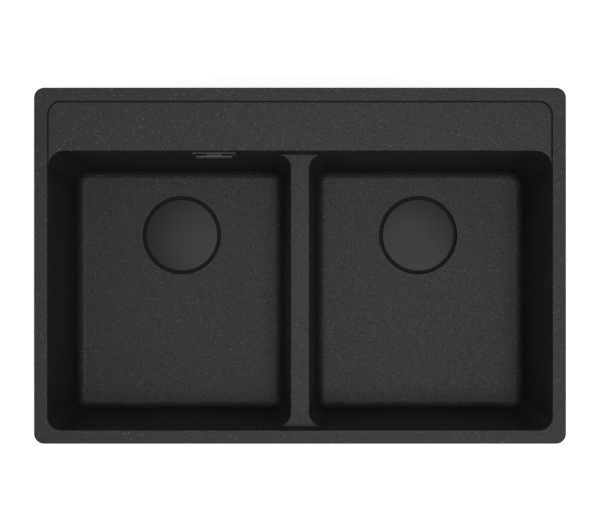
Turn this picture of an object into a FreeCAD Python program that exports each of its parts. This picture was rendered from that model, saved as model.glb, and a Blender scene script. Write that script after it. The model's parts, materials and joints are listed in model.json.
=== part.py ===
import FreeCAD, Part
import math
import os

# A drop-in kitchen sink moulded from granite composite, with two bowls, a low divider,
# a recessed tap deck, two basket strainers under flat covers, an overflow and eight clamps.
# Millimetres. The origin is the middle of the worktop cut-out, on the worktop's top face.
# +X is to the right, +Y to the rear and +Z up.

V = FreeCAD.Vector
PARTS = "parts"

# ---- sink body, outside -------------------------------------------------------------
sink_width = 838.0         # over the rim, left to right
sink_depth = 561.0         # over the rim, front to rear
sink_corner_r = 16.0
rim_height = 9.0           # rim above the worktop
rim_edge_r = 1.5
rim_foot_r = 0.8
frame_width = 21.0         # raised frame that runs round the whole sink
frame_corner_r = 22.0
step_edge_r = 0.6          # rounding at the head of the frame's inner step
step_foot_r = 2.8          # and at its foot
deck_drop = 4.0            # tap deck below the rim
deck_thickness = 9.0
deck_strip = 78.7          # tap deck, from the frame to the bowls
worktop_overlap = 9.5      # rim over the worktop, all round
skirt_gap = 3.0            # between the moulding and the edge of the cut-out
skirt_drop = 28.0          # skirt under the deck, below the worktop's top face
skirt_wall = 9.0
deck_rib_width = 6.0
deck_rib_drop = 20.0
deck_rib_places = (-300.0, -60.0, 50.8, 152.4, 300.0)

# ---- bowls ---------------------------------------------------------------------------
bowl_depth = 229.0         # from the rim's top to the floor
wall = 9.0
floor_thickness = 10.0
side_draft = 3.6           # lean of the walls, in degrees
rear_draft = 4.8
divider_draft = 4.25
front_corner_r = 22.0
rear_corner_r = 26.0
divider_corner_r = 22.0
floor_r = 16.0             # rounding between walls and floor
mouth_r = 2.0              # rounding where the deck turns down into the bowls
divider_width = 30.6       # at its top
divider_drop = 40.0        # its top below the rim
divider_cap = 10.0         # thickness of its top
divider_edge_r = 2.0
seam_clear = 4.0           # seams between the moulding's parts stay this far from roundings

# ---- drains --------------------------------------------------------------------------
drain_x = 204.0            # each side of the middle
drain_y = 52.8
drain_hole_r = 45.0
recess_r = 66.85
recess_depth = 8.0
recess_edge_r = 1.2
recess_floor = 9.0         # moulding left under the recess
boss_r = 80.0

# ---- strainers -----------------------------------------------------------------------
gasket_thickness = 2.0
gasket_inset = 1.0         # gasket inside the flange that presses on it, and clear of the hole
cup_flange_r = drain_hole_r + 12.0
cup_sheet = 1.5
cup_hole_gap = 1.5         # cup inside the drain hole
cup_depth = 36.0           # from the flange's underside to the cup's underside
cup_step_depth = 11.5      # from the flange's top to the ledge that carries the basket
cup_step = 2.5
outlet_hole_r = 6.0
outlet_circle_r = 20.0
outlet_holes = 6
basket_sheet = 1.0
basket_gap = 0.3           # under the basket's rim
basket_side_gap = 0.5      # round the basket's rim
basket_r = 36.5
basket_depth = 20.0
basket_hole_r = 1.8
basket_rings = ((12.0, 8), (19.5, 14), (27.0, 20))
basket_wall_rows = (6.5, 12.5)
basket_wall_holes = 20
seal_width = 5.0           # basket's rubber ring
seal_r = 33.0
seal_gap = 0.3
seal_lip = 1.0
cover_r = 61.65
cover_thickness = 2.2
cover_proud = 2.5          # cover's top above the bowl's floor
cover_edge_r = 0.8
cover_lip = 2.0            # turned-down edge
cover_lip_width = 1.5
knob_r = 8.0
knob_height = 8.0
knob_edge_r = 1.5
stem_r = 4.0
stem_foot_r = 9.0
stem_foot_height = 2.0
socket_wall = 2.7
socket_height = 6.3
fit_gap = 0.3              # between pieces that lift off each other

# ---- waste housings under the bowls ----------------------------------------------------
housing_r = drain_hole_r + 4.5
housing_wall = 3.0
housing_flange_r = drain_hole_r + 15.0
housing_flange = 3.0
housing_straight = 31.0    # from the flange's top down to the cone
housing_cone = 20.0
spigot_r = 24.0            # threaded outlet
spigot_wall = 3.0
spigot_length = 22.0
post_r = 9.0               # pillar that takes the waste screw
post_rib = 3.0
post_ribs = 3
screw_r = 3.0
screw_head_r = 8.0
screw_head = 3.2
screw_length = 12.5        # under the head
screw_key_r = 2.9
screw_key_depth = 2.0
screw_head_edge_r = 1.2
screw_clearance = 0.4      # hole round a screw that passes through
screw_well = 3.0           # room under the nut for the screw's end
thread_gap = 0.05          # screw inside its nut, nut inside its seat
nut_r = 5.0
nut_length = 12.0

# ---- outlets ---------------------------------------------------------------------------
tail_r = 19.05             # 1 1/2 inch tailpiece
tail_wall = 1.5
tail_length = 100.0
tail_flange = 2.5
tail_neck = 4.5            # narrower stretch under the flange, inside the nut
tail_neck_step = 0.3
tail_washer = 2.5
tail_flange_inset = 0.5    # flange and washer inside the spigot's outside
union_r = spigot_r + 6.0
union_grip = 14.0          # length of nut over the spigot
union_lip = 3.0
union_gap = 0.1
union_ribs = 12
union_rib_r = 2.2

# ---- overflow --------------------------------------------------------------------------
overflow_x = -137.0
overflow_drop = 34.0       # middle of the overflow below the rim
overflow_frame = (71.0, 30.0, 1.5)       # width, height, thickness
overflow_window = (60.0, 20.0)
overflow_slot = (56.0, 15.0)             # opening in the bowl's wall
overflow_plate = (59.0, 19.0, 2.0)
overflow_stand = 4.3       # clear depth between the wall and the front plate
overflow_plate_shift = 1.5               # plate sits this much below the frame's middle
overflow_bridge = (26.0, 9.0)
overflow_corner_r = 3.0
overflow_window_r = 2.0
overflow_plate_edge_r = 0.6
overflow_bridge_r = 1.5
overflow_bridge_inset = 2.0              # bridge ends inside the wall
overflow_screw_r = 2.5
overflow_head_screw_r = 4.6
overflow_head_screw = 1.6
head_box = (70.0, 28.0, 24.0)            # elbow behind the wall: width, height, depth
head_wall = 2.5
head_side_wall = 5.5
head_corner_r = 4.0
head_inner_r = 2.0
head_pillar_wall = 3.5     # round the overflow screw
head_pillar_bottom = 5.0   # left under the screw's thread
overflow_screw_grip = 14.0 # length of the screw inside the elbow
overflow_slot_width = 1.2  # slot in the screw's head
overflow_slot_depth = 0.8
pipe_stub_r = 12.0
pipe_stub_wall = 2.5
pipe_stub_drop = 26.0      # stub below the elbow's underside
pipe_wall = 1.4
pipe_gap = 0.1
pipe_overlap = 18.0        # pipe pushed over each stub
pipe_bend_r = 60.0
side_stub_reach = 80.0     # housing's side stub, from the drain's axis
side_stub_drop = 17.0      # its axis below the housing's flange
clip_width = 9.0
clip_sheet = 1.6
clip_lug = (8.0, 7.0)
clip_lug_gap = 0.3
clip_screw_r = 2.2
clip_screw_end = 4.0       # screw beyond the lug on its head's side
clip_screw_tip = 2.0       # and on the other side

# ---- clamps ----------------------------------------------------------------------------
pad_width = 28.0
pad_height = 40.0
pad_depth = 9.0
clamp_screw_z = -60.0
clamp_width = 18.0
clamp_sheet = 2.0
clamp_rise = 20.0          # strap above the screw
clamp_tail = 17.0          # strap below the screw
clamp_reach = 9.0          # foot beyond the strap, under the worktop
clamp_travel = 8.0         # each way
clamp_gap = 0.1
clamp_screw_r = 2.5
clamp_screw_length = 9.0
clamp_head_r = 4.5
clamp_head = 3.0
clamp_head_edge_r = 1.0
cross_width = 5.0          # cross recess in the screw's head
cross_slot = 1.1
cross_depth = 1.5
slot_gap = 0.3
washer_r = 6.5
washer_thickness = 1.0
insert_r = 3.8
insert_length = 7.5
insert_hole_spare = 0.5
side_clamp_places = (-140.0, 60.0)       # along the left and right walls
front_clamp_places = (-205.0, 205.0)
rear_clamp_places = (-250.0, 250.0)

# ---- seal under the rim ------------------------------------------------------------------
rim_seal_inset = 2.5       # from the rim's edge
rim_seal_width = 5.0
rim_seal_thickness = 2.0
rim_seal_gap = 0.1

# ---- tap holes, to be knocked out from below -----------------------------------------------
tap_hole_r = 17.5
tap_spacing = 101.6
tap_holes = 3              # the first lies on the middle of the sink
tap_skin = 3.0             # moulding left over each hole

# ---- levels that follow from the sizes above -------------------------------------------------
deck_top = rim_height - deck_drop
deck_under = deck_top - deck_thickness
divider_top = rim_height - divider_drop
floor_z = rim_height - bowl_depth
shell_bottom = floor_z - floor_thickness
seat_z = floor_z - recess_depth
boss_bottom = seat_z - recess_floor
cutout_width = sink_width - 2 * worktop_overlap
cutout_depth = sink_depth - 2 * worktop_overlap
overshoot = 3.0            # how far a cutting shape runs past what it cuts


def slope(draft):
    return math.tan(math.radians(draft))


# The walls' lines at a height z. Frame, deck and bowls share them.
def side_x(z):
    return sink_width / 2 - frame_width - (rim_height - z) * slope(side_draft)


def front_y(z):
    return frame_width - sink_depth / 2 + (rim_height - z) * slope(side_draft)


def step_y(z):
    return sink_depth / 2 - frame_width - (rim_height - z) * slope(side_draft)


def rear_y(z):
    edge = sink_depth / 2 - frame_width - deck_strip
    return edge - (deck_top - z) * slope(rear_draft)


def divider_x(z):
    return divider_width / 2 + (divider_top - z) * slope(divider_draft)


# ---- shapes used by several pieces -------------------------------------------------------------
def save(node, shape):
    shape.exportStep(os.path.join(PARTS, node + ".step"))


def tapered_block(west, east, south, north, low, high):
    """A block whose four sides lean, each given as a line that moves with height."""
    block = Part.makeWedge(west(low), low, -north(low), -north(high), west(high),
                           east(low), high, -south(low), -south(high), east(high))
    block.rotate(V(0, 0, 0), V(1, 0, 0), 90)
    return block


def corner_edge(block, side, end):
    middle = block.BoundBox.Center
    for edge in block.Edges:
        rises = abs(edge.Vertexes[0].Z - edge.Vertexes[-1].Z) > 1
        place = edge.CenterOfMass - middle
        if rises and place.x * side > 0 and place.y * end > 0:
            return edge
    raise ValueError("the block has no such corner")


def round_corners(block, radii):
    """Rounds the four upright corners; each is named by its side (x) and end (y)."""
    for (side, end), radius in radii.items():
        block = block.makeFillet(radius, [corner_edge(block, side, end)])
    return block


def all_corners(radius):
    return {(side, end): radius for side in (-1, 1) for end in (-1, 1)}


def level_edges(shape, z, inside=None):
    """The edges that lie at height z, and within a half width and half depth if given."""
    found = []
    for edge in shape.Edges:
        box = edge.BoundBox
        level = abs(box.ZMin - z) < 1e-3 and abs(box.ZMax - z) < 1e-3
        if inside:
            half_x, half_y = inside
            level = level and max(-box.XMin, box.XMax) < half_x
            level = level and max(-box.YMin, box.YMax) < half_y
        if level:
            found.append(edge)
    return found


def rounded_plate(width, depth, low, high, radius):
    plate = Part.makeBox(width, depth, high - low, V(-width / 2, -depth / 2, low))
    return round_corners(plate, all_corners(radius))


def cylinder(radius, low, high, x=0.0, y=0.0):
    return Part.makeCylinder(radius, high - low, V(x, y, low))


def ring(outer, inner, low, high):
    return cylinder(outer, low, high).cut(cylinder(inner, low - 1, high + 1))


def turned(points):
    """A solid turned about the Z axis from its half section, given as (radius, z) points."""
    corners = [V(radius, 0, z) for radius, z in points]
    face = Part.Face(Part.makePolygon(corners + corners[:1]))
    return face.revolve(V(0, 0, 0), V(0, 0, 1), 360)


def around(tool, count, first=0.0):
    """Copies of a tool, evenly spaced about the Z axis."""
    copies = []
    for step in range(count):
        copy = tool.copy()
        copy.rotate(V(0, 0, 0), V(0, 0, 1), first + 360.0 * step / count)
        copies.append(copy)
    return copies


def moved(shape, x=0.0, y=0.0, z=0.0):
    copy = shape.copy()
    copy.translate(V(x, y, z))
    return copy


def mirrored(shape):
    return shape.mirror(V(0, 0, 0), V(1, 0, 0))


def upright_plate(width, height, near, far, radius, shift=0.0):
    """A plate that faces along Y, with rounded corners, from y = near to y = far."""
    plate = Part.makeBox(width, far - near, height, V(-width / 2, near, shift - height / 2))
    edges = [e for e in plate.Edges if abs(e.Vertexes[0].Y - e.Vertexes[-1].Y) > 1e-6]
    return plate.makeFillet(radius, edges)


# ---- sink body -----------------------------------------------------------------------------------
def frame_tray():
    """The rim with its raised frame, over the sunk deck."""
    slab = rounded_plate(sink_width, sink_depth, 0, rim_height, sink_corner_r)
    slab = slab.makeFillet(rim_edge_r, level_edges(slab, rim_height))
    slab = slab.makeFillet(rim_foot_r, level_edges(slab, 0))
    recess = tapered_block(lambda z: -side_x(z), side_x, front_y, step_y,
                           deck_top, rim_height + overshoot)
    recess = round_corners(recess, all_corners(frame_corner_r))
    tray = slab.cut(recess)
    inside = (side_x(rim_height) + 1, step_y(rim_height) + 1)
    tray = tray.makeFillet(step_edge_r, level_edges(tray, rim_height, inside))
    return tray.makeFillet(step_foot_r, level_edges(tray, deck_top, inside))


def bowl_block(grow, low, high):
    """The left bowl's inside, grown outwards by a wall; its lower edge isn't rounded yet."""
    block = tapered_block(lambda z: -side_x(z) - grow, lambda z: grow - divider_x(z),
                          lambda z: front_y(z) - grow, lambda z: rear_y(z) + grow, low, high)
    return round_corners(block, {(-1, -1): front_corner_r + grow, (-1, 1): rear_corner_r + grow,
                                 (1, -1): divider_corner_r + grow, (1, 1): divider_corner_r + grow})


def flared_top(block, plate, level, radius):
    """Joins a block and the wider plate on top of it, with the inner edge between them rounded."""
    joined = block.fuse(plate)
    box = block.BoundBox
    edges = []
    for edge in level_edges(joined, level):
        across = edge.BoundBox
        if across.XMin > box.XMin - 1 and across.XMax < box.XMax + 1:
            if across.YMin > box.YMin - 1 and across.YMax < box.YMax + 1:
                edges.append(edge)
    return joined.makeFillet(radius, edges)


def bowl_cavity():
    """The left bowl's inside up to the divider's top, where it flares over the divider's edge."""
    cavity = bowl_block(0, floor_z, divider_top)
    cavity = cavity.makeFillet(floor_r, level_edges(cavity, floor_z))
    plate = bowl_block(divider_edge_r + 1, divider_top, divider_top + overshoot)
    cavity = flared_top(cavity, plate, divider_top, divider_edge_r)
    limits = tapered_block(lambda z: -side_x(z), lambda z: 0.0, front_y, rear_y,
                           floor_z - 1, divider_top + overshoot)
    limits = round_corners(limits, {(-1, -1): front_corner_r, (-1, 1): rear_corner_r})
    return cavity.common(limits)


def bowl_shell():
    shell = bowl_block(wall, shell_bottom, rim_height / 2)
    return shell.makeFillet(floor_r + wall, level_edges(shell, shell_bottom))


def mouth():
    """The space above the divider, common to both bowls, which flares over the deck's edge."""
    space = tapered_block(lambda z: -side_x(z), side_x, front_y, rear_y, divider_top, deck_top)
    radii = {(-1, -1): front_corner_r, (1, -1): front_corner_r,
             (-1, 1): rear_corner_r, (1, 1): rear_corner_r}
    space = round_corners(space, radii)
    grow = mouth_r + 1
    plate = tapered_block(lambda z: -side_x(z) - grow, lambda z: side_x(z) + grow,
                          lambda z: front_y(z) - grow, lambda z: rear_y(z) + grow,
                          deck_top, rim_height + overshoot)
    plate = round_corners(plate, {place: radius + grow for place, radius in radii.items()})
    space = flared_top(space, plate, deck_top, mouth_r)
    limits = tapered_block(lambda z: -side_x(z), side_x, front_y, step_y,
                           divider_top - 1, rim_height + overshoot)
    limits = round_corners(limits, {(-1, -1): front_corner_r, (1, -1): front_corner_r})
    return space.common(limits)


def divider_block():
    """Solid between the two shells: the walls above the divider, and the divider's cap."""
    half = divider_width / 2 + divider_corner_r + wall
    return tapered_block(lambda z: -half, lambda z: half,
                         lambda z: front_y(z) - wall, lambda z: rear_y(z) + wall,
                         divider_top - divider_cap, rim_height / 2)


def deck_underside():
    """The deck's lower half, the skirt round it and the ribs between skirt and bowls."""
    outer_x = cutout_width / 2 - skirt_gap
    outer_y = cutout_depth / 2 - skirt_gap
    bowl_back = rear_y(deck_under)
    length = outer_y - bowl_back
    deck = Part.makeBox(2 * outer_x, length, deck_top - deck_under - 1,
                        V(-outer_x, bowl_back, deck_under))
    skirt = Part.makeBox(2 * outer_x, length - wall, skirt_drop + 1,
                         V(-outer_x, bowl_back + wall, -skirt_drop))
    hollow_x = outer_x - skirt_wall
    hollow = Part.makeBox(2 * hollow_x, length + overshoot - skirt_wall, skirt_drop + 3,
                          V(-hollow_x, bowl_back - overshoot, -skirt_drop - 1))
    corner = frame_corner_r + skirt_wall
    skirt = skirt.makeFillet(corner, [corner_edge(skirt, side, 1) for side in (-1, 1)])
    deck = deck.makeFillet(corner, [corner_edge(deck, side, 1) for side in (-1, 1)])
    hollow = hollow.makeFillet(frame_corner_r, [corner_edge(hollow, side, 1) for side in (-1, 1)])
    pieces = [deck, skirt.cut(hollow)]
    for x in deck_rib_places:
        pieces.append(Part.makeBox(deck_rib_width, length - skirt_wall / 2, deck_rib_drop + 1,
                                   V(x - deck_rib_width / 2, bowl_back, deck_under - deck_rib_drop)))
    return pieces


def clamp_places():
    """Name, direction in degrees and place of each clamp; 0 degrees faces the front."""
    side = cutout_width / 2 - skirt_gap
    end = cutout_depth / 2 - skirt_gap
    places = []
    for word, y in zip(("front", "rear"), side_clamp_places):
        places.append(("clamp_left_" + word, -90.0, -side, y))
        places.append(("clamp_right_" + word, 90.0, side, y))
    for word, x in zip(("left", "right"), front_clamp_places):
        places.append(("clamp_front_" + word, 0.0, x, -end))
    for word, x in zip(("left", "right"), rear_clamp_places):
        places.append(("clamp_rear_" + word, 180.0, x, end))
    return places


def at_clamp(shape, turn, x, y):
    """Puts a piece drawn at the origin, facing the front (-Y), at a clamp's place."""
    copy = shape.copy()
    copy.rotate(V(0, 0, 0), V(0, 0, 1), turn)
    copy.translate(V(x, y, clamp_screw_z))
    return copy


def clamp_pad(turn):
    """Moulded pad for a clamp. At the rear it reaches up to the skirt."""
    top = pad_height / 2
    if turn == 180.0:
        top = -skirt_drop - clamp_screw_z + skirt_drop / 2
    return Part.makeBox(pad_width, pad_depth, pad_height / 2 + top,
                        V(-pad_width / 2, 0, -pad_height / 2))


def insert_hole():
    length = insert_length + insert_hole_spare
    return Part.makeCylinder(insert_r + thread_gap, length, V(0, 0, 0), V(0, 1, 0))


def drain_cut():
    x, y = -drain_x, drain_y
    recess = cylinder(recess_r, seat_z, floor_z + overshoot, x, y)
    return recess.fuse(cylinder(drain_hole_r, boss_bottom - overshoot, floor_z, x, y))


def seal_band(gap, low, high):
    """A band that follows the rim's outline, narrowed on both edges by a gap."""
    outer = rim_seal_inset + gap
    inner = rim_seal_inset + rim_seal_width - gap
    radius = sink_corner_r
    band = rounded_plate(sink_width - 2 * outer, sink_depth - 2 * outer, low, high, radius - outer)
    return band.cut(rounded_plate(sink_width - 2 * inner, sink_depth - 2 * inner,
                                  low - 1, high + 1, radius - inner))


def sink_body():
    shell = bowl_shell()
    boss = cylinder(boss_r, boss_bottom, floor_z - 1, -drain_x, drain_y)
    solids = [shell, mirrored(shell), divider_block(), boss, mirrored(boss)] + deck_underside()
    for name, turn, x, y in clamp_places():
        solids.append(at_clamp(clamp_pad(turn), turn, x, y))
    body = frame_tray().fuse(solids)
    cavity = bowl_cavity()
    body = body.cut(mouth()).cut(cavity).cut(mirrored(cavity)).removeSplitter()
    drain = drain_cut()
    body = body.cut([drain, mirrored(drain)])
    rims = [e for e in level_edges(body, floor_z) if abs(e.Length - 2 * math.pi * recess_r) < 0.1]
    body = body.makeFillet(recess_edge_r, rims)
    cuts = [at_overflow(overflow_opening()), seal_band(0, -1, rim_seal_thickness)]
    for step in range(tap_holes):
        cuts.append(cylinder(tap_hole_r, deck_under - 1, deck_top - tap_skin,
                             step * tap_spacing, tap_y()))
    for name, turn, x, y in clamp_places():
        cuts.append(at_clamp(insert_hole(), turn, x, y))
    return body.cut(cuts)


def sink_body_parts():
    """The one moulding, cut at plain planes into touching parts of a simple shape each."""
    foot = floor_z + floor_r + seam_clear
    back = rear_y(deck_under) + wall
    side = side_x(foot) - max(front_corner_r, rear_corner_r) - seam_clear
    middle = divider_x(foot) + divider_corner_r + seam_clear
    far = sink_width
    walls = (foot, deck_under)
    spans = {"rim": ((-far, far), (-far, far), (deck_under, far)),
             "skirt": ((-far, far), (back, far), (-far, deck_under)),
             "divider": ((-middle, middle), (-far, back), walls),
             "left_side": ((-far, -side), (-far, back), walls),
             "right_side": ((side, far), (-far, back), walls),
             "left_floor": ((-far, 0), (-far, back), (-far, foot)),
             "right_floor": ((0, far), (-far, back), (-far, foot))}
    for bowl, ends in (("left", (-side, -middle)), ("right", (middle, side))):
        spans[bowl + "_front"] = (ends, (-far, 0), walls)
        spans[bowl + "_rear"] = (ends, (0, back), walls)
    body = sink_body()
    parts = {}
    for place, ((west, east), (south, north), (low, high)) in spans.items():
        cell = Part.makeBox(east - west, north - south, high - low, V(west, south, low))
        parts["sink_body_" + place] = body.common(cell)
    return parts


def tap_y():
    """The tap holes lie on the middle of the deck."""
    return sink_depth / 2 - frame_width - deck_strip / 2


# ---- strainer, drawn about the Z axis with its heights in the sink's frame ---------------------------
cup_under = seat_z + gasket_thickness             # flange's underside
cup_top = cup_under + cup_sheet
cup_r = drain_hole_r - cup_hole_gap               # cup's outside, above the ledge
cup_bottom = cup_under - cup_depth
ledge_z = cup_top - cup_step_depth
basket_under = ledge_z + basket_gap               # basket's rim
basket_bottom = basket_under - basket_depth
cover_top = floor_z + cover_proud
cover_under = cover_top - cover_thickness
knob_top = cover_under - fit_gap
housing_top = boss_bottom - gasket_thickness
cone_top = housing_top - housing_straight
cone_bottom = cone_top - housing_cone
spigot_bottom = cone_bottom - spigot_length
tail_top = spigot_bottom - tail_washer            # tailpiece's flange


def cup_gasket():
    return ring(cup_flange_r - gasket_inset, drain_hole_r + gasket_inset, seat_z, cup_under)


def strainer_cup():
    inner = cup_r - cup_sheet
    low_r = cup_r - cup_step
    edge = cup_sheet / 3
    section = [(cup_flange_r, cup_under), (cup_r, cup_under), (cup_r, ledge_z - cup_sheet),
               (low_r, ledge_z - cup_step - cup_sheet), (low_r, cup_bottom), (0, cup_bottom),
               (0, cup_bottom + cup_sheet), (low_r - cup_sheet, cup_bottom + cup_sheet),
               (low_r - cup_sheet, ledge_z - cup_step), (inner, ledge_z), (inner, cup_top - edge),
               (inner + edge, cup_top), (cup_flange_r - edge, cup_top), (cup_flange_r, cup_top - edge)]
    cup = turned(section)
    outlet = cylinder(outlet_hole_r, cup_bottom - 1, cup_bottom + cup_sheet + 1, outlet_circle_r)
    middle = cylinder(screw_r + screw_clearance, cup_bottom - 1, cup_bottom + cup_sheet + 1)
    return cup.cut(around(outlet, outlet_holes) + [middle])


def basket():
    rim_r = cup_r - cup_sheet - basket_side_gap
    inner = basket_r - basket_sheet
    top = basket_under + basket_sheet
    section = [(rim_r, basket_under), (basket_r, basket_under), (basket_r, basket_bottom),
               (0, basket_bottom), (0, basket_bottom + basket_sheet),
               (inner, basket_bottom + basket_sheet), (inner, top), (rim_r, top)]
    shape = turned(section)
    holes = []
    for circle_r, count in basket_rings:
        hole = cylinder(basket_hole_r, basket_bottom - 1, basket_bottom + basket_sheet + 1, circle_r)
        holes += around(hole, count, first=180.0 / count)
    for row, depth in enumerate(basket_wall_rows):
        hole = Part.makeCylinder(basket_hole_r, 3 * basket_sheet,
                                 V(basket_r - 2 * basket_sheet, 0, top - depth), V(1, 0, 0))
        holes += around(hole, basket_wall_holes, first=180.0 * row / basket_wall_holes)
    return shape.cut(holes)


def basket_seal():
    lip = (basket_bottom - cup_bottom - cup_sheet - seal_gap) / 2
    low = cup_bottom + cup_sheet + seal_gap
    section = [(seal_r - seal_width, basket_bottom), (seal_r, basket_bottom),
               (seal_r, basket_bottom - lip), (seal_r - seal_lip, low),
               (seal_r - 2 * seal_lip, low), (seal_r - seal_width, basket_bottom - lip)]
    return turned(section)


def basket_knob():
    """The basket's stem, with the knob that carries the cover."""
    low = basket_bottom + basket_sheet
    edge = knob_edge_r / 2
    section = [(0, low), (stem_foot_r, low), (stem_foot_r, low + stem_foot_height - edge),
               (stem_foot_r - edge, low + stem_foot_height), (stem_r, low + stem_foot_height),
               (stem_r, knob_top - knob_height), (knob_r, knob_top - knob_height + edge),
               (knob_r, knob_top - edge), (knob_r - edge, knob_top), (0, knob_top)]
    return turned(section)


def drain_cover():
    cover = cylinder(cover_r, cover_under, cover_top)
    cover = cover.makeFillet(cover_edge_r, level_edges(cover, cover_top))
    return cover.fuse(ring(cover_r, cover_r - cover_lip_width, cover_under - cover_lip, cover_under + 1))


def cover_socket():
    inner = knob_r + fit_gap
    return ring(inner + socket_wall, inner, cover_under - socket_height, cover_under)


# ---- waste under the bowl ------------------------------------------------------------------------------
def housing_gasket():
    return ring(housing_flange_r - gasket_inset, drain_hole_r + 2 * gasket_inset,
                housing_top, boss_bottom)


def housing_shell():
    inner = housing_r - housing_wall
    bore = spigot_r - spigot_wall
    flange = housing_top - housing_flange
    section = [(inner, housing_top), (housing_flange_r, housing_top), (housing_flange_r, flange),
               (housing_r, flange), (housing_r, cone_top), (spigot_r, cone_bottom),
               (spigot_r, spigot_bottom), (bore, spigot_bottom), (bore, cone_bottom),
               (inner, cone_top)]
    return turned(section)


def waste_housing(with_stub):
    shell = housing_shell()
    filled = turned([(0, housing_top), (housing_r - 1, housing_top), (housing_r - 1, cone_top),
                     (spigot_r - 1, cone_bottom), (0, cone_bottom)])
    ribs = []
    for rib in around(Part.makeBox(housing_r, post_rib, housing_cone + 2,
                                   V(0, -post_rib / 2, cone_bottom)), post_ribs, first=30.0):
        ribs.append(rib.common(filled))
    pillar = cylinder(post_r, cone_bottom, cup_bottom)
    seat = cylinder(nut_r + thread_gap, cup_bottom - nut_length, cup_bottom + 1)
    well = cylinder(screw_r + screw_clearance, cup_bottom - nut_length - screw_well, cup_bottom)
    shape = shell.fuse(ribs + [pillar]).cut([seat, well])
    if with_stub:
        start = V(0, 0, housing_top - side_stub_drop)
        toward = pipe_direction()
        tube = Part.makeCylinder(pipe_stub_r, side_stub_reach, start, toward)
        tube = tube.cut(cylinder(housing_r - housing_wall / 2, cone_top, housing_top))
        bore = Part.makeCylinder(pipe_stub_r - pipe_stub_wall, side_stub_reach - housing_r / 2,
                                 start + toward * (housing_r / 2), toward)
        shape = shape.fuse(tube).cut(bore.cut(pillar))
    return shape


def waste_screw():
    under = cup_bottom + cup_sheet
    head = cylinder(screw_head_r, under, under + screw_head)
    head = head.makeFillet(screw_head_edge_r, level_edges(head, under + screw_head))
    key = Part.Face(Part.makePolygon([V(screw_key_r * math.cos(math.radians(60 * k)),
                                        screw_key_r * math.sin(math.radians(60 * k)),
                                        under + screw_head) for k in range(7)]))
    head = head.cut(key.extrude(V(0, 0, -screw_key_depth)))
    return head.fuse(cylinder(screw_r, under - screw_length, under + 0.5))


def waste_nut():
    return ring(nut_r, screw_r + thread_gap, cup_bottom - nut_length, cup_bottom)


def union_nut():
    grip_top = spigot_bottom + union_grip
    lip_top = tail_top - tail_flange
    nut = cylinder(union_r, lip_top - union_lip, grip_top)
    rib = cylinder(union_rib_r, lip_top - union_lip, grip_top, union_r)
    nut = nut.fuse(around(rib, union_ribs))
    nut = nut.cut(cylinder(spigot_r + union_gap, lip_top, grip_top + 1))
    return nut.cut(cylinder(tail_r + 2 * union_gap, lip_top - union_lip - 1, lip_top + 1))


def outlet_washer():
    return ring(spigot_r - tail_flange_inset, tail_r - tail_wall, tail_top, spigot_bottom)


def tailpiece():
    flange_r = spigot_r - tail_flange_inset
    flange_under = tail_top - tail_flange
    neck_under = flange_under - tail_neck
    neck_r = tail_r - tail_neck_step
    bore = tail_r - tail_wall
    bottom = tail_top - tail_length
    section = [(bore, bottom), (tail_r, bottom), (tail_r, neck_under), (neck_r, neck_under),
               (neck_r, flange_under), (flange_r, flange_under), (flange_r, tail_top),
               (bore, tail_top)]
    return turned(section)


# ---- overflow, drawn upright at the origin with the bowl in front of it (-Y) ---------------------------
wall_across = wall * math.cos(math.radians(rear_draft))
overflow_z = rim_height - overflow_drop


def at_overflow(shape):
    """Leans a piece with the bowl's rear wall and puts it on the wall's face."""
    copy = shape.copy()
    copy.rotate(V(0, 0, 0), V(1, 0, 0), -rear_draft)
    copy.translate(V(overflow_x, rear_y(overflow_z), overflow_z))
    return copy


def overflow_opening():
    width, height = overflow_slot
    return upright_plate(width, height, -overshoot, wall_across + overshoot, height / 2 - 0.1)


def overflow_cover():
    width, height, thickness = overflow_frame
    frame = upright_plate(width, height, -thickness, 0, overflow_corner_r)
    frame = frame.cut(upright_plate(overflow_window[0], overflow_window[1], -thickness - 1, 1,
                                    overflow_window_r))
    near = -overflow_stand - overflow_plate[2]
    plate = upright_plate(overflow_plate[0], overflow_plate[1], near, -overflow_stand,
                          overflow_corner_r, -overflow_plate_shift)
    face = [e for e in plate.Edges if abs(e.BoundBox.YMin - near) < 1e-3 and
            abs(e.BoundBox.YMax - near) < 1e-3]
    plate = plate.makeFillet(overflow_plate_edge_r, face)
    bridge = upright_plate(overflow_bridge[0], overflow_bridge[1], -overflow_stand - 0.5,
                           wall_across - overflow_bridge_inset, overflow_bridge_r)
    tie = Part.makeBox(overflow_bridge[0], thickness, height - 2 * thickness,
                       V(-overflow_bridge[0] / 2, -thickness, thickness - height / 2))
    hole = Part.makeCylinder(overflow_screw_r + fit_gap, wall_across - near + 1,
                             V(0, near - 1, 0), V(0, 1, 0))
    sink_in = Part.makeCylinder(overflow_head_screw_r + fit_gap, overflow_head_screw,
                                V(0, near, 0), V(0, 1, 0))
    return frame.fuse([plate, bridge, tie]).cut([hole, sink_in])


def overflow_gasket():
    width, height = head_box[:2]
    far = wall_across + gasket_thickness
    band = upright_plate(width - 2 * gasket_inset, height - 2 * gasket_inset, wall_across, far,
                         head_corner_r - gasket_inset)
    return band.cut(upright_plate(width - 2 * head_side_wall, height - 2 * head_side_wall,
                                  wall_across - 1, far + 1, head_inner_r))


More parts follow.
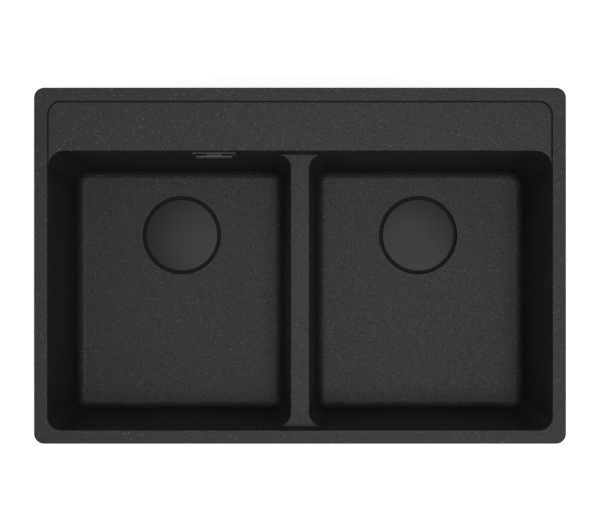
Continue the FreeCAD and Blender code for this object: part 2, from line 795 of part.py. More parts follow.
def overflow_head():
    """The elbow behind the wall: a box open to the slot, with a nut pillar and a stub down."""
    width, height, depth = head_box
    near = wall_across + gasket_thickness
    far = near + depth
    box = upright_plate(width, height, near, far, head_corner_r)
    inside = upright_plate(width - 2 * head_side_wall, height - 2 * head_side_wall, near - 1,
                           far - head_wall, head_inner_r)
    pillar = Part.makeCylinder(overflow_screw_r + head_pillar_wall, depth - 1,
                               V(0, near, 0), V(0, 1, 0))
    thread = Part.makeCylinder(overflow_screw_r + thread_gap, depth - head_pillar_bottom,
                               V(0, near - 1, 0), V(0, 1, 0))
    x, y = pipe_top()
    underside = overflow_z - height / 2
    stub_bottom = underside - pipe_stub_drop
    stub = cylinder(pipe_stub_r, stub_bottom, underside + head_side_wall - 1, x, y)
    bore = cylinder(pipe_stub_r - pipe_stub_wall, stub_bottom - 1, underside + head_side_wall + 5, x, y)
    shell = at_overflow(box.cut(inside)).fuse(stub).cut(bore)
    return shell.fuse(at_overflow(pillar)).cut(at_overflow(thread)).removeSplitter()


def overflow_screw():
    near = -overflow_stand - overflow_plate[2]
    length = wall_across + gasket_thickness + overflow_screw_grip - near
    head = Part.makeCylinder(overflow_head_screw_r, overflow_head_screw, V(0, near, 0), V(0, 1, 0))
    slot = Part.makeBox(2 * overflow_head_screw_r + 1, overflow_slot_depth + 1, overflow_slot_width,
                        V(-overflow_head_screw_r - 0.5, near - 1, -overflow_slot_width / 2))
    shank = Part.makeCylinder(overflow_screw_r, length, V(0, near + 0.5, 0), V(0, 1, 0))
    return head.fuse(shank).cut(slot)


# ---- overflow pipe -------------------------------------------------------------------------------------
def pipe_top():
    """Place of the pipe's upright run, behind the bowl."""
    back = rear_y(overflow_z) + wall + gasket_thickness + head_box[2] / 2
    return overflow_x, back + 1.0


def pipe_direction():
    """Level direction from the left drain's axis towards the pipe's upright run."""
    x, y = pipe_top()
    line = V(x + drain_x, y - drain_y, 0)
    return line.normalize()


def pipe_path(start_z, end_reach):
    """Down, round one bend and level towards the drain, as line, arc and line."""
    x, y = pipe_top()
    toward = pipe_direction()
    level_z = housing_top - side_stub_drop
    top = V(x, y, start_z)
    bend_in = V(x, y, level_z + pipe_bend_r)
    corner = V(x, y, level_z)
    bend_out = corner - toward * pipe_bend_r
    centre = bend_in - toward * pipe_bend_r
    halfway = (toward - V(0, 0, 1)).normalize()
    middle = centre + halfway * pipe_bend_r
    end = V(-drain_x, drain_y, level_z) + toward * end_reach
    arc = Part.Arc(bend_in, middle, bend_out)
    return Part.Wire([Part.LineSegment(top, bend_in).toShape(), arc.toShape(),
                      Part.LineSegment(bend_out, end).toShape()])


def pipe_ends():
    start_z = overflow_z - head_box[1] / 2 - pipe_stub_drop + pipe_overlap
    return start_z, side_stub_reach - pipe_overlap


def swept_disc(path, radius):
    start = path.OrderedVertexes[0].Point
    disc = Part.Wire([Part.makeCircle(radius, start, V(0, 0, 1))])
    return path.makePipeShell([disc], True, False)


def overflow_pipe():
    start_z, end_reach = pipe_ends()
    path = pipe_path(start_z, end_reach)
    inner = pipe_stub_r + pipe_gap
    return swept_disc(path, inner + pipe_wall).cut(swept_disc(path, inner))


def hose_clip():
    """A worm-drive clip drawn about the Z axis, its middle at the origin."""
    inner = pipe_stub_r + pipe_gap + pipe_wall + pipe_gap
    band = ring(inner + clip_sheet, inner, -clip_width / 2, clip_width / 2)
    reach, length = clip_lug
    lug = Part.makeBox(reach, length, clip_width,
                       V(inner + clip_lug_gap, -length / 2, -clip_width / 2))
    screw = Part.makeCylinder(clip_screw_r, length + clip_screw_end + clip_screw_tip,
                              V(inner + reach / 2, -length / 2 - clip_screw_end, 0), V(0, 1, 0))
    return band.fuse([lug, screw])


def hose_clips():
    start_z, end_reach = pipe_ends()
    x, y = pipe_top()
    upper = hose_clip()
    upper.rotate(V(0, 0, 0), V(0, 0, 1), 90)
    upper.translate(V(x, y, start_z - clip_width))
    lower = hose_clip()
    toward = pipe_direction()
    lower.rotate(V(0, 0, 0), V(0, 1, 0), 90)
    lower.rotate(V(0, 0, 0), V(0, 0, 1), math.degrees(math.atan2(toward.y, toward.x)))
    place = V(-drain_x, drain_y, housing_top - side_stub_drop) + toward * (end_reach + clip_width)
    lower.translate(place)
    return Part.makeCompound([upper, lower])


# ---- clamps, drawn at the origin facing the front, with the screw on the Y axis ----------------------------
def clamp_strap():
    near = -clamp_gap
    far = near - clamp_sheet
    strap = Part.makeBox(clamp_width, clamp_sheet, clamp_rise + clamp_tail,
                         V(-clamp_width / 2, far, -clamp_tail))
    foot = Part.makeBox(clamp_width, clamp_reach + clamp_sheet, clamp_sheet,
                        V(-clamp_width / 2, far - clamp_reach, clamp_rise - clamp_sheet))
    toe = Part.makeBox(clamp_width, clamp_sheet, 2 * clamp_sheet,
                       V(-clamp_width / 2, far - clamp_reach, clamp_rise - clamp_sheet))
    shape = strap.fuse([foot, toe]).removeSplitter()
    slot_r = clamp_screw_r + slot_gap
    slot = Part.makeBox(2 * slot_r, clamp_sheet + 2, 2 * clamp_travel,
                        V(-slot_r, far - 1, -clamp_travel))
    ends = [Part.makeCylinder(slot_r, clamp_sheet + 2, V(0, far - 1, end * clamp_travel), V(0, 1, 0))
            for end in (-1, 1)]
    return shape.cut([slot] + ends)


def clamp_washer():
    near = -2 * clamp_gap - clamp_sheet
    far = near - washer_thickness
    disc = Part.makeCylinder(washer_r, washer_thickness, V(0, far, 0), V(0, 1, 0))
    return disc.cut(Part.makeCylinder(clamp_screw_r + slot_gap, washer_thickness + 2,
                                      V(0, far - 1, 0), V(0, 1, 0)))


def clamp_screw():
    under = -2 * clamp_gap - clamp_sheet - washer_thickness
    head = Part.makeCylinder(clamp_head_r, clamp_head, V(0, under - clamp_head, 0), V(0, 1, 0))
    face = [e for e in head.Edges if abs(e.BoundBox.YMax - under + clamp_head) < 1e-3]
    head = head.makeFillet(clamp_head_edge_r, face)
    shank = Part.makeCylinder(clamp_screw_r, clamp_screw_length + 0.5,
                              V(0, under - 0.5, 0), V(0, 1, 0))
    arms = []
    for width, height in ((cross_width, cross_slot), (cross_slot, cross_width)):
        arms.append(Part.makeBox(width, cross_depth + 1, height,
                                 V(-width / 2, under - clamp_head - 1, -height / 2)))
    return head.fuse(shank).cut(arms)


def clamp_insert():
    insert = Part.makeCylinder(insert_r, insert_length, V(0, 0, 0), V(0, 1, 0))
    return insert.cut(Part.makeCylinder(clamp_screw_r + thread_gap, insert_length + 2,
                                        V(0, -1, 0), V(0, 1, 0)))


def at_every_clamp(shape):
    return Part.makeCompound([at_clamp(shape, turn, x, y) for name, turn, x, y in clamp_places()])


# ---- build ---------------------------------------------------------------------------------------------
def build_strainers():
    pieces = {"cup_gasket": cup_gasket(), "strainer_cup": strainer_cup(), "basket": basket(),
              "basket_seal": basket_seal(), "basket_knob": basket_knob(), "drain_cover": drain_cover(),
              "cover_socket": cover_socket(), "housing_gasket": housing_gasket(),
              "waste_screw": waste_screw(), "waste_nut": waste_nut(), "union_nut": union_nut(),
              "outlet_washer": outlet_washer(), "tailpiece": tailpiece()}
    for side, x in (("left", -drain_x), ("right", drain_x)):
        for name, shape in pieces.items():
            save(side + "_" + name, moved(shape, x, drain_y))
        save(side + "_waste_housing", moved(waste_housing(side == "left"), x, drain_y))


def build_overflow():
    save("overflow_cover", at_overflow(overflow_cover()))
    save("overflow_screw", at_overflow(overflow_screw()))
    save("overflow_gasket", at_overflow(overflow_gasket()))
    save("overflow_head", overflow_head())
    save("overflow_pipe", overflow_pipe())
    save("hose_clips", hose_clips())


def build_clamps():
    strap = clamp_strap()
    for name, turn, x, y in clamp_places():
        save(name, at_clamp(strap, turn, x, y))
    save("clamp_washers", at_every_clamp(clamp_washer()))
    save("clamp_screws", at_every_clamp(clamp_screw()))
    save("clamp_inserts", at_every_clamp(clamp_insert()))


os.makedirs(PARTS, exist_ok=True)
for name, shape in sink_body_parts().items():
    save(name, shape)
save("rim_seal", seal_band(rim_seal_gap, 0, rim_seal_thickness))
build_strainers()
build_overflow()
build_clamps()
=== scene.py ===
import json
import math
import bpy
import numpy as np
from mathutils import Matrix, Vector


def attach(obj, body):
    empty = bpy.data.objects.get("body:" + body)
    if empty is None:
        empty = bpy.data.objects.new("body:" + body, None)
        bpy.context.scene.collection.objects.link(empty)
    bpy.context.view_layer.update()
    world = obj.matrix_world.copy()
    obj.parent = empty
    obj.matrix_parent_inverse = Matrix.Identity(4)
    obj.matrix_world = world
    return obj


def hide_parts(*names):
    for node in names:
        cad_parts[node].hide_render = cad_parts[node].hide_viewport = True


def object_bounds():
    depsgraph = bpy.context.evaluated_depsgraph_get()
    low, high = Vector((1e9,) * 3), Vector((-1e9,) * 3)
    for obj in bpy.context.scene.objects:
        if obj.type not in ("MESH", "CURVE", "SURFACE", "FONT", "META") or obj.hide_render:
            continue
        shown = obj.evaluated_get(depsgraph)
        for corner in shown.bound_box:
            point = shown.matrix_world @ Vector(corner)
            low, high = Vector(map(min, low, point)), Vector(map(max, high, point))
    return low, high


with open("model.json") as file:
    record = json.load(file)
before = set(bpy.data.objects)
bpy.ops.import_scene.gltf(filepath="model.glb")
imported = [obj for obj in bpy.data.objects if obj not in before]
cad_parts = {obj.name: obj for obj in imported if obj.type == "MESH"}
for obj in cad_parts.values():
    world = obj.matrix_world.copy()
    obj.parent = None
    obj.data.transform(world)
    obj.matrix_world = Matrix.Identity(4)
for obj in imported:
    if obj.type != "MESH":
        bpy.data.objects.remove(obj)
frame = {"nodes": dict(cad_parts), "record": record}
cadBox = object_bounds()
print("frame loaded:", len(frame["nodes"]), "CAD nodes")


def newFinish(name):
    # an empty Principled material with its nodes at hand
    mat = bpy.data.materials.new(name)
    mat.use_nodes = True
    tree = mat.node_tree
    shader = next(n for n in tree.nodes if n.type == "BSDF_PRINCIPLED")
    return mat, tree, shader


def addNode(tree, kind, sockets=None, **settings):
    # one node; sockets holds values or output sockets by input name or number
    node = tree.nodes.new(kind)
    for key, value in settings.items():
        setattr(node, key, value)
    for key, value in (sockets or {}).items():
        target = node.inputs[key]
        if isinstance(value, bpy.types.NodeSocket):
            tree.links.new(value, target)
        else:
            target.default_value = value
    return node


def place(tree, stretch=(1, 1, 1)):
    # Object coordinates in metres, optionally stretched
    coords = addNode(tree, "ShaderNodeTexCoord").outputs["Object"]
    if stretch == (1, 1, 1):
        return coords
    mapping = addNode(tree, "ShaderNodeMapping", {"Vector": coords, "Scale": stretch})
    return mapping.outputs["Vector"]


def axesOf(tree, vector):
    parts = addNode(tree, "ShaderNodeSeparateXYZ", {"Vector": vector})
    return [parts.outputs[name] for name in "XYZ"]


def noise(tree, coords, scale, detail=2.0, roughness=0.5):
    sockets = {"Vector": coords, "Scale": scale, "Detail": detail, "Roughness": roughness}
    return addNode(tree, "ShaderNodeTexNoise", sockets).outputs["Fac"]


def remap(tree, value, fromLow, fromHigh, toLow=0.0, toHigh=1.0):
    # value stretched from one range to another and kept inside it
    sockets = {"Value": value, "From Min": fromLow, "From Max": fromHigh,
               "To Min": toLow, "To Max": toHigh}
    return addNode(tree, "ShaderNodeMapRange", sockets, clamp=True).outputs["Result"]


def maths(tree, operation, first, second=0.0):
    return addNode(tree, "ShaderNodeMath", {0: first, 1: second}, operation=operation).outputs[0]


def times(tree, first, *others):
    for other in others:
        first = maths(tree, "MULTIPLY", first, other)
    return first


def above(tree, value, limit):
    return maths(tree, "GREATER_THAN", value, limit)


def below(tree, value, limit):
    return maths(tree, "LESS_THAN", value, limit)


def mixColours(tree, factor, first, second, blend="MIX"):
    node = addNode(tree, "ShaderNodeMix", data_type="RGBA", blend_type=blend)
    for name, value in (("Factor", factor), ("A", first), ("B", second)):
        kind = "VALUE" if name == "Factor" else "RGBA"
        target = next(s for s in node.inputs if s.name == name and s.type == kind)
        if isinstance(value, bpy.types.NodeSocket):
            tree.links.new(value, target)
        else:
            target.default_value = value
    return next(s for s in node.outputs if s.type == "RGBA")


def grey(level, tint=(1, 1, 1)):
    return (level * tint[0], level * tint[1], level * tint[2], 1)


def shaded(tone, factor, lift=0.0):
    # a tone made lighter or darker, as a full colour
    return tuple(min(1.0, v * factor + lift) for v in tone) + (1,)


def bump(tree, shader, height, strength, distance):
    node = addNode(tree, "ShaderNodeBump",
                   {"Height": height, "Strength": strength, "Distance": distance})
    tree.links.new(node.outputs["Normal"], shader.inputs["Normal"])


# places on the moulding, in metres
moulding = {
    "drainX": 0.204, "drainY": 0.0528,   # the drains' axes, left and right of the middle
    "bowlMiddleY": -0.035,               # middle of the bowls, front to rear
    "floorLevel": -0.2195,               # just above the bowls' floors
    "rearY": 0.184, "frontY": -0.261,    # past these and sideX there is no inside
    "sideX": 0.3995,
    "worktop": -0.0002,                  # what is outside and below this is not seen in use
    "gapRadius": 0.0682,                 # gap round a drain cover
    "gapTop": (-0.2209, -0.2222), "gapFoot": -0.2290,
    "stepFoot": (0.00502, 0.0053), "stepHead": (0.0078, 0.0084),   # step round the tap deck
    "stepFrontY": 0.16, "stepRearY": 0.2605, "stepX": 0.3992,
}

composite = {
    "body": 0.0120,             # matt black mix of quartz and resin
    "grainScale": 620,          # fine grain, features of about 1.5 mm
    "grainDepth": 0.9,
    "cloudScale": 9.0, "cloudDepth": 0.04,
    "fleckCell": 430,           # cells per metre for the pale flecks
    "fleckShare": 0.56,         # cells above this random value hold a fleck
    "fleckEdge": (0.18, 0.32),  # where a fleck starts to fade and ends, in cells
    "fleckFalloff": 2.2,        # higher leaves fewer bright flecks
    "fleckLight": 0.176,
    "pitCell": 780, "pitEdge": (0.1, 0.3), "pitDepth": 0.35, "pitTone": 0.35,
    "dullCell": (0.22, 0.5), "dullShare": 0.45,
    "dullSpot": 0.40,           # extra roughness in dark spots between the flecks
    "paintedShade": 0.006,             # painted shade: a dark tone in the gaps round the covers and along the step
    # extra roughness where the shade is painted, which dulls the lamps' highlight there
    "paintedShadeRough": 0.22,
    "haze": 0.085, "hazeTint": (1.0, 0.99, 0.97), "hazeScale": 35.0, "hazeShare": (0.05, 0.4),
    "hazeRough": 0.2,
    "roughness": 0.455, "roughSpread": 0.06,
    "specular": 0.152,
    "relief": 0.80, "reliefDepth": 0.0005,
}


def outsideMask(tree, across, along, height, side, normal):
    # 1 on the moulding's outside below the worktop: faces that look away from the middle of
    # their bowl, or down, or lie past the bowls' outer faces
    m = moulding
    faceX, faceY, faceZ = normal
    inBowl = above(tree, height, m["floorLevel"])
    middle = remap(tree, inBowl, 0.0, 1.0, m["drainY"], m["bowlMiddleY"])
    outX = times(tree, maths(tree, "SUBTRACT", across, side), faceX)
    outY = times(tree, maths(tree, "SUBTRACT", along, middle), faceY)
    outward = above(tree, maths(tree, "ADD", outX, outY), 0.0)
    outside = times(tree, outward, below(tree, faceZ, 0.5))
    for test in (below(tree, faceZ, -0.2), above(tree, along, m["rearY"]),
                 below(tree, along, m["frontY"]),
                 above(tree, maths(tree, "ABSOLUTE", across), m["sideX"])):
        outside = maths(tree, "MAXIMUM", outside, test)
    return times(tree, outside, below(tree, height, m["worktop"]))


def paintedShadeMask(tree, across, along, height, side):
    # 1 in the gap round each drain cover and along the foot of the step round the tap deck, where
    # shade is painted into the colour
    m = moulding
    reachX = maths(tree, "SUBTRACT", across, side)
    reachY = maths(tree, "SUBTRACT", along, m["drainY"])
    reach = maths(tree, "ADD", times(tree, reachX, reachX), times(tree, reachY, reachY))
    gap = times(tree, below(tree, reach, m["gapRadius"] ** 2), remap(tree, height, *m["gapTop"]),
                above(tree, height, m["gapFoot"]))
    step = times(tree, remap(tree, height, *m["stepFoot"]),
                 remap(tree, height, *m["stepHead"], 1.0, 0.0),
                 above(tree, along, m["stepFrontY"]), below(tree, along, m["stepRearY"]),
                 below(tree, maths(tree, "ABSOLUTE", across), m["stepX"]))
    return maths(tree, "MAXIMUM", gap, step)


def compositeFinish():
    c = composite
    mat, tree, shader = newFinish("granite composite")
    coords = place(tree)
    grain = noise(tree, coords, c["grainScale"], 3.0, 0.6)
    cloud = noise(tree, coords, c["cloudScale"])
    half = c["grainDepth"] / 2
    tone = maths(tree, "ADD", remap(tree, grain, 0.3, 0.7, 1 - half, 1 + half),
                 remap(tree, cloud, 0.3, 0.7, -c["cloudDepth"], c["cloudDepth"]))
    base = mixColours(tree, 1.0, grey(c["body"]), tone, "MULTIPLY")

    # pale flecks: small balls at some of the cell centres, each with its own brightness
    cells = addNode(tree, "ShaderNodeTexVoronoi", {"Vector": coords, "Scale": c["fleckCell"]})
    pick = addNode(tree, "ShaderNodeSeparateColor", {"Color": cells.outputs["Color"]})
    distance = cells.outputs["Distance"]
    ball = remap(tree, distance, *c["fleckEdge"], 1.0, 0.0)
    chosen = remap(tree, pick.outputs[0], c["fleckShare"], 1.0)
    fleck = times(tree, ball, maths(tree, "POWER", chosen, c["fleckFalloff"]))
    speckled = mixColours(tree, fleck, base, grey(c["fleckLight"]))

    # dark pits between the flecks
    pits = addNode(tree, "ShaderNodeTexVoronoi", {"Vector": coords, "Scale": c["pitCell"]})
    pit = remap(tree, pits.outputs["Distance"], *c["pitEdge"], c["pitDepth"], 0.0)
    pitted = mixColours(tree, pit, speckled, grey(c["body"] * c["pitTone"]))

    # the outside is as moulded, duller and with resin haze
    across, along, height = axesOf(tree, coords)
    normal = axesOf(tree, addNode(tree, "ShaderNodeNewGeometry").outputs["Normal"])
    side = times(tree, maths(tree, "SIGN", across), moulding["drainX"])
    outside = outsideMask(tree, across, along, height, side, normal)
    haze = remap(tree, noise(tree, coords, c["hazeScale"], 4.0, 0.65), 0.35, 0.75, *c["hazeShare"])
    hazed = mixColours(tree, haze, pitted, grey(c["haze"], c["hazeTint"]))
    clean = mixColours(tree, outside, pitted, hazed)
    # painted shade: the gaps round the covers and the foot of the step are made darker and duller,
    # as if shade fell there
    paintedShade = paintedShadeMask(tree, across, along, height, side)
    tree.links.new(mixColours(tree, paintedShade, clean, grey(c["paintedShade"])), shader.inputs["Base Color"])

    dull = times(tree, remap(tree, distance, *c["dullCell"], 1.0, 0.0),
                 remap(tree, pick.outputs[1], c["dullShare"], 1.0, 0.0, c["dullSpot"]))
    rough = remap(tree, grain, 0.3, 0.7, c["roughness"] - c["roughSpread"],
                  c["roughness"] + c["roughSpread"])
    for extra in (times(tree, paintedShade, c["paintedShadeRough"]), dull, times(tree, outside, c["hazeRough"])):
        rough = maths(tree, "ADD", rough, extra)
    tree.links.new(rough, shader.inputs["Roughness"])
    shader.inputs["Specular IOR Level"].default_value = c["specular"]

    coarse = noise(tree, coords, 240.0)
    relief = maths(tree, "ADD", times(tree, grain, 0.5), times(tree, coarse, outside, 2.0))
    bump(tree, shader, relief, c["relief"], c["reliefDepth"])
    return mat


coatings = {
    "cover": {"tone": (0.0119, 0.0131, 0.0149), "roughness": 0.32, "specular": 0.088},
    # painted light: the overflow's metal is the same coating as the covers, with its tone painted
    # lighter and a stronger specular to stand for the light on it
    "overflow": {"tone": (0.040, 0.042, 0.042), "roughness": 0.42, "specular": 0.25},
}


def coatedFinish(name, look):
    # dark satin coating on sheet metal, with fine grain and wiped patches
    mat, tree, shader = newFinish(name)
    coords = place(tree)
    patches = noise(tree, coords, 26.0, 3.0, 0.55)
    fine = noise(tree, coords, 1500.0)
    tree.links.new(mixColours(tree, patches, shaded(look["tone"], 0.95), shaded(look["tone"], 1.05)),
                   shader.inputs["Base Color"])
    mean = look["roughness"]
    rough = maths(tree, "ADD", remap(tree, patches, 0.3, 0.7, mean - 0.01, mean + 0.01),
                  remap(tree, fine, 0.3, 0.7, -0.02, 0.02))
    tree.links.new(rough, shader.inputs["Roughness"])
    shader.inputs["Specular IOR Level"].default_value = look["specular"]
    bump(tree, shader, fine, 0.08, 0.0001)
    return mat


steel = {"tone": (0.60, 0.59, 0.57), "roughness": 0.3, "spread": 0.08, "markRough": 0.14}


def steelFinish(name, stretch):
    # brushed sheet steel: fine streaks along the stretched axis and dull water marks
    mat, tree, shader = newFinish(name)
    coords = place(tree)
    streaks = noise(tree, place(tree, stretch), 900.0, 3.0, 0.6)
    marks = noise(tree, coords, 55.0, 4.0, 0.6)
    worn = times(tree, streaks, marks)
    tree.links.new(mixColours(tree, worn, shaded(steel["tone"], 1.06), shaded(steel["tone"], 0.8)),
                   shader.inputs["Base Color"])
    rough = remap(tree, streaks, 0.3, 0.7, steel["roughness"] - steel["spread"],
                  steel["roughness"] + steel["spread"])
    rough = maths(tree, "ADD", rough, remap(tree, marks, 0.4, 0.8, 0.0, steel["markRough"]))
    tree.links.new(rough, shader.inputs["Roughness"])
    shader.inputs["Metallic"].default_value = 1.0
    bump(tree, shader, streaks, 0.12, 0.00008)
    return mat


brass = {"tone": (0.62, 0.43, 0.18), "tarnish": (0.24, 0.15, 0.07), "roughness": 0.34}


def brassFinish():
    # turned brass with brown tarnish in patches
    mat, tree, shader = newFinish("turned brass")
    coords = place(tree)
    patches = noise(tree, coords, 240.0, 4.0, 0.6)
    turning = noise(tree, place(tree, (1, 1, 14)), 600.0, 1.0)
    tarnish = remap(tree, patches, 0.45, 0.75, 0.0, 0.7)
    tree.links.new(mixColours(tree, tarnish, brass["tone"] + (1,), brass["tarnish"] + (1,)),
                   shader.inputs["Base Color"])
    tree.links.new(remap(tree, patches, 0.3, 0.8, brass["roughness"], 0.6),
                   shader.inputs["Roughness"])
    shader.inputs["Metallic"].default_value = 1.0
    bump(tree, shader, turning, 0.15, 0.0001)
    return mat


rubber = {
    "gasket": {"tone": 0.022, "roughness": 0.60, "pores": 900.0},
    "foam": {"tone": 0.05, "roughness": 0.85, "pores": 1700.0},
}


def rubberFinish(name, look):
    # rubber: tiny pores, chalky bloom in soft patches
    mat, tree, shader = newFinish(name)
    coords = place(tree)
    pores = addNode(tree, "ShaderNodeTexVoronoi", {"Vector": coords, "Scale": look["pores"]})
    bloom = noise(tree, coords, 60.0, 4.0, 0.6)
    chalk = remap(tree, bloom, 0.4, 0.8, 0.0, 0.5)
    tree.links.new(mixColours(tree, chalk, grey(look["tone"]), grey(look["tone"] * 2.2)),
                   shader.inputs["Base Color"])
    mean = look["roughness"]
    tree.links.new(remap(tree, bloom, 0.3, 0.7, mean - 0.05, mean + 0.08),
                   shader.inputs["Roughness"])
    shader.inputs["Specular IOR Level"].default_value = 0.35
    bump(tree, shader, pores.outputs["Distance"], 0.25, 0.00015)
    return mat


plastics = {
    "black": {"tone": (0.026, 0.027, 0.029), "roughness": 0.42, "grain": 1300.0},
    "pipe": {"tone": (0.63, 0.63, 0.60), "roughness": 0.36, "grain": 700.0},
}


def plasticFinish(name, look):
    # moulded plastic: spark-eroded grain, flow marks and scuffs
    mat, tree, shader = newFinish(name)
    coords = place(tree)
    grain = noise(tree, coords, look["grain"])
    flow = noise(tree, place(tree, (1, 1, 0.25)), 40.0, 3.0, 0.55)
    scuffs = noise(tree, place(tree, (1, 5, 1)), 160.0, 5.0, 0.7)
    base = mixColours(tree, remap(tree, flow, 0.3, 0.7, 0.0, 0.45),
                      look["tone"] + (1,), shaded(look["tone"], 1.25, 0.01))
    scuffed = mixColours(tree, remap(tree, scuffs, 0.58, 0.75, 0.0, 0.5), base,
                         shaded(look["tone"], 0.75, 0.02))
    tree.links.new(scuffed, shader.inputs["Base Color"])
    mean = look["roughness"]
    rough = maths(tree, "ADD", remap(tree, scuffs, 0.4, 0.7, mean, mean + 0.15),
                  remap(tree, grain, 0.3, 0.7, -0.03, 0.03))
    tree.links.new(rough, shader.inputs["Roughness"])
    bump(tree, shader, grain, 0.12, 0.00012)
    return mat


finishes = {
    "composite": compositeFinish(),
    "coated_metal": coatedFinish("dark coated metal", coatings["cover"]),
    "overflow": coatedFinish("overflow coating painted lighter", coatings["overflow"]),
    "steel": steelFinish("drawn steel", (1, 1, 0.04)),
    "strap": steelFinish("strap steel", (0.04, 1, 1)),
    "brass": brassFinish(),
    "rubber": rubberFinish("gasket rubber", rubber["gasket"]),
    "seal_strip": rubberFinish("foam seal", rubber["foam"]),
    "black_plastic": plasticFinish("black plastic", plastics["black"]),
    "pipe_plastic": plasticFinish("pipe plastic", plastics["pipe"]),
}
print("finishes made:", len(finishes))

slotOf = {s["node"]: s["material_slot"] for s in frame["record"]["subparts"]}
shading = {"weld": 1e-6, "sharpAngle": math.radians(32), "coverAngle": math.radians(40)}


def splitEdges(obj, angle):
    # a crisp line wherever two faces meet at more than the angle
    split = obj.modifiers.new("sharp edges", "EDGE_SPLIT")
    split.split_angle = angle
    return split


def smoothFaces(mesh):
    mesh.polygons.foreach_set("use_smooth", np.ones(len(mesh.polygons), bool))


def smoothShade(obj):
    # joins the loose triangles for shading only and keeps edges sharper than the angle
    smoothFaces(obj.data)
    obj.modifiers.new("weld", "WELD").merge_threshold = shading["weld"]
    splitEdges(obj, shading["sharpAngle"]).use_edge_sharp = False
    obj.modifiers.new("even shading", "WEIGHTED_NORMAL").weight = 50


def finishOf(name):
    # a node's finish: its slot, but clamp straps have their own, and the overflow's metal is a copy
    # of the coating with painted light
    slot = slotOf[name]
    if name.startswith("clamp_") and slot == "steel":
        return finishes["strap"]
    # the overflow's coating is painted lighter than the covers' coating
    if name.startswith("overflow_") and slot == "coated_metal":
        return finishes["overflow"]
    return finishes[slot]


for name, node in frame["nodes"].items():
    node.data.materials.clear()
    node.data.materials.append(finishOf(name))
    smoothShade(node)
print("CAD nodes finished")

cover = {
    "radius": 0.06165,
    "top": -0.2175,                # highest point, at the middle
    "crown": 0.0025,               # how much lower the edge is than the middle
    "hollow": 0.0011,              # the same, under the sheet
    "edge": 0.0008,                # radius of the rolled edge
    "thickness": 0.0022,
    "lip": 0.0020,                 # turned down below the sheet
    "lipWidth": 0.0015,
    "lipBevel": 0.0003,
    "around": 192,
    "rings": 40,
}


def coverProfile(c):
    # half section from the middle of the top, over the edge, round the lip and back below:
    # top z = top - crown (r / R)^2, then a quarter circle, the lip, and a flatter curve back
    flat = c["radius"] - c["edge"]
    r = np.linspace(0, flat, c["rings"])
    top = np.column_stack([r, c["top"] - c["crown"] * (r / flat) ** 2])
    turn = np.linspace(0, math.pi / 2, 8)[1:]
    rim = np.column_stack([flat + c["edge"] * np.sin(turn),
                           c["top"] - c["crown"] - c["edge"] * (1 - np.cos(turn))])
    foot = c["top"] - c["thickness"] - c["lip"]
    inner = c["radius"] - c["lipWidth"]
    bevel = c["lipBevel"]
    lip = np.array([[c["radius"], foot + bevel], [c["radius"] - bevel, foot],
                    [inner + bevel, foot], [inner, foot + bevel]])
    back = np.linspace(inner, 0, c["rings"] // 2)
    under = np.column_stack([back, c["top"] - c["thickness"] - c["hollow"] * (back / flat) ** 2])
    return np.vstack([top, rim, lip, under])


def turnedSurface(name, profile, steps, centre, material):
    # turns a half section (r, z) about an upright axis: x = r cos t, y = r sin t
    inside = profile[1:-1]
    t = np.linspace(0, 2 * math.pi, steps, endpoint=False)
    x = centre[0] + np.outer(inside[:, 0], np.cos(t))
    y = centre[1] + np.outer(inside[:, 0], np.sin(t))
    z = np.repeat(inside[:, 1:], steps, axis=1)
    verts = np.column_stack([x.ravel(), y.ravel(), z.ravel()])
    poles = [(centre[0], centre[1], profile[0, 1]), (centre[0], centre[1], profile[-1, 1])]
    verts = np.vstack([verts, poles])
    count = len(inside)
    i, j = np.meshgrid(np.arange(count - 1), np.arange(steps), indexing="ij")
    k = (j + 1) % steps
    quads = np.column_stack([(i * steps + j).ravel(), ((i + 1) * steps + j).ravel(),
                             ((i + 1) * steps + k).ravel(), (i * steps + k).ravel()])
    j = np.arange(steps)
    k = (j + 1) % steps
    first = np.column_stack([np.full(steps, count * steps), j, k])
    last = np.column_stack([np.full(steps, count * steps + 1), (count - 1) * steps + k,
                            (count - 1) * steps + j])
    mesh = bpy.data.meshes.new(name)
    mesh.from_pydata(verts.tolist(), [], quads.tolist() + first.tolist() + last.tolist())
    smoothFaces(mesh)
    mesh.materials.append(material)
    obj = bpy.data.objects.new(name, mesh)
    bpy.context.scene.collection.objects.link(obj)
    splitEdges(obj, shading["coverAngle"])
    return obj


for side, sign in (("left", -1), ("right", 1)):
    centre = (sign * moulding["drainX"], moulding["drainY"])
    disc = turnedSurface(side + "_cover_disc", coverProfile(cover), cover["around"], centre,
                         finishes["coated_metal"])
    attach(disc, side + "_cover_unit")
    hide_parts(side + "_drain_cover")
print("drain covers made")

studio = {
    "floorSize": 8.0, "floorTone": 0.82, "floorGlow": 0.45,
    "dome": 0.50,                  # soft light from all round
    "topPlace": (0.2, -0.1, 7.0), "topSize": 3.4, "topPower": 222.0,
    "sidePlace": (1.6, -1.5, 7.0), "sideSize": 1.2, "sidePower": 72.0,
    "cameraPlace": (0, -0.00047, 2.359), "lens": 89.57,
}


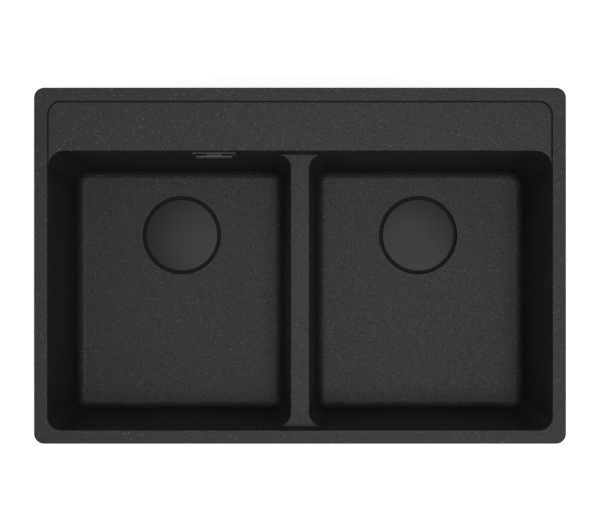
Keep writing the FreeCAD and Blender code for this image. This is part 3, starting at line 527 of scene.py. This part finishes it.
def whiteForCamera(tree):
    # 1 where the ray comes from the camera, a mirror or a clear thing
    rays = addNode(tree, "ShaderNodeLightPath").outputs
    seen = maths(tree, "MAXIMUM", rays["Is Camera Ray"], rays["Is Glossy Ray"])
    return maths(tree, "MAXIMUM", seen, rays["Is Transmission Ray"])


def makeFloor(low):
    half = studio["floorSize"] / 2
    corners = [(-half, -half, low), (half, -half, low), (half, half, low), (-half, half, low)]
    mesh = bpy.data.meshes.new("floor")
    mesh.from_pydata(corners, [], [(0, 1, 2, 3)])
    floor = bpy.data.objects.new("floor", mesh)
    bpy.context.scene.collection.objects.link(floor)
    mat, tree, shader = newFinish("pale floor")
    shader.inputs["Base Color"].default_value = grey(studio["floorTone"])
    shader.inputs["Roughness"].default_value = 0.9
    shader.inputs["Specular IOR Level"].default_value = 0.0
    shader.inputs["Emission Color"].default_value = (1, 1, 1, 1)
    glow = times(tree, whiteForCamera(tree), studio["floorGlow"])
    tree.links.new(glow, shader.inputs["Emission Strength"])
    mesh.materials.append(mat)


def makeWorld():
    world = bpy.data.worlds.new("studio")
    bpy.context.scene.world = world
    world.use_nodes = True
    tree = world.node_tree
    background = next(n for n in tree.nodes if n.type == "BACKGROUND")
    background.inputs["Color"].default_value = (1, 1, 1, 1)
    tree.links.new(remap(tree, whiteForCamera(tree), 0.0, 1.0, studio["dome"], 1.0),
                   background.inputs["Strength"])


def softLamp(name, spot, size, power):
    # a round lamp that looks at the origin
    lamp = bpy.data.lights.new(name, "AREA")
    lamp.shape = "DISK"
    lamp.size = size
    lamp.energy = power
    obj = bpy.data.objects.new(name, lamp)
    obj.location = spot
    aim = -obj.location.normalized()
    obj.rotation_euler = aim.to_track_quat("-Z", "Y").to_euler()
    bpy.context.scene.collection.objects.link(obj)


makeFloor(cadBox[0].z)
makeWorld()
softLamp("top lamp", studio["topPlace"], studio["topSize"], studio["topPower"])
softLamp("side lamp", studio["sidePlace"], studio["sideSize"], studio["sidePower"])

camera = bpy.data.objects.new("camera", bpy.data.cameras.new("camera"))
camera.location = studio["cameraPlace"]
camera.data.lens = studio["lens"]
bpy.context.scene.collection.objects.link(camera)
bpy.context.scene.camera = camera
bpy.context.scene.view_settings.view_transform = "Standard"
print("studio ready")
